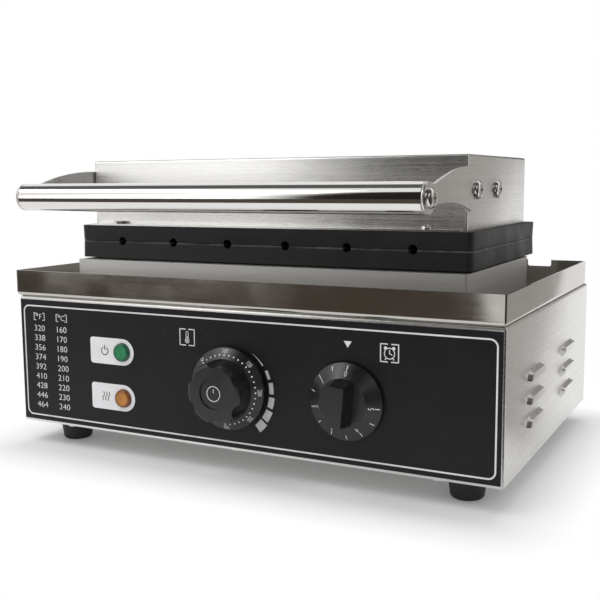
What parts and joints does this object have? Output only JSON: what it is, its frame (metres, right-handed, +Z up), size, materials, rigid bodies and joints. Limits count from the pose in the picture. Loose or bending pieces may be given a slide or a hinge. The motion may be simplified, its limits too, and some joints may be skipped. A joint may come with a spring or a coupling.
{
  "type": "stick waffle maker",
  "caption": "Countertop electric stick-waffle maker: hinged lid with bar handle over notched moulding plates, drip tray and base with thermostat, timer and lamps.",
  "frame": {"origin": "on the floor under the middle of the part's width and depth", "axes": "+X to the right seen from the front, +Y towards the hinges at the rear, +Z up"},
  "size_m": [0.405, 0.3304, 0.228],
  "materials": {
    "stainless": "brushed",
    "polished_tube": "polished",
    "hinge_steel": "satin",
    "screw_steel": "satin",
    "panel_film": "satin",
    "nonstick": "non-stick coated",
    "element_tube": "oxidised",
    "clamp_sheet": "galvanised",
    "mineral_wool": "fibrous",
    "knob_plastic": "satin",
    "control_case": "moulded",
    "bulb_copper": "drawn",
    "green_lens": "translucent",
    "amber_lens": "translucent",
    "gland_plastic": "moulded",
    "foot_rubber": "moulded"
  },
  "bodies": {
    "base": {"base_housing": "stainless", "rear_panel": "stainless", "bottom_plate": "stainless", "drip_tray": "stainless", "plate_riser": "stainless", "base_hinge_left": "hinge_steel", "base_hinge_right": "hinge_steel", "hinge_pins": "hinge_steel", "hinge_rings": "hinge_steel", "foot_screws": "screw_steel", "rear_panel_screws": "screw_steel", "bottom_screws": "screw_steel", "hinge_foot_screws": "screw_steel", "control_nuts": "screw_steel", "control_panel": "panel_film", "lower_plate": "nonstick", "lower_heating_element": "element_tube", "lower_heater_clamp": "clamp_sheet", "lower_heater_wool": "mineral_wool", "thermostat_body": "control_case", "timer_body": "control_case", "lamp_cases": "control_case", "terminal_block": "control_case", "thermostat_bulb": "bulb_copper", "power_lamp_lens": "green_lens", "heat_lamp_lens": "amber_lens", "cable_gland": "gland_plastic", "gland_locknut": "gland_plastic", "rubber_feet": "foot_rubber"},
    "lid": {"upper_hood": "stainless", "upper_plate": "nonstick", "upper_heating_element": "element_tube", "upper_heater_clamp": "clamp_sheet", "upper_heater_wool": "mineral_wool", "handle_arm_left": "stainless", "handle_arm_right": "stainless", "handle_bar": "polished_tube", "handle_plugs": "screw_steel", "handle_end_screws": "screw_steel", "arm_screws": "screw_steel", "flange_screws": "screw_steel", "lid_hinge_left": "hinge_steel", "lid_hinge_right": "hinge_steel", "lid_hinge_screws": "screw_steel"},
    "temperature_control": {"temperature_knob": "knob_plastic", "thermostat_shaft": "screw_steel"},
    "timer_control": {"timer_knob": "knob_plastic", "timer_shaft": "screw_steel"}
  },
  "joints": [
    {"name": "lid_hinge", "type": "hinge", "parent": "base", "child": "lid", "pos_m": [0, 0.1078, 0.188], "axis": [-1, 0, 0], "range_deg": [0, 100]},
    {"name": "temperature_knob_turn", "type": "hinge", "parent": "base", "child": "temperature_control", "pos_m": [0, -0.1261, 0.0638], "axis": [0, 1, 0], "range_deg": [0, 270]},
    {"name": "timer_knob_turn", "type": "hinge", "parent": "base", "child": "timer_control", "pos_m": [0.0923, -0.1261, 0.0638], "axis": [0, 1, 0], "range_deg": [0, 270]}
  ]
}
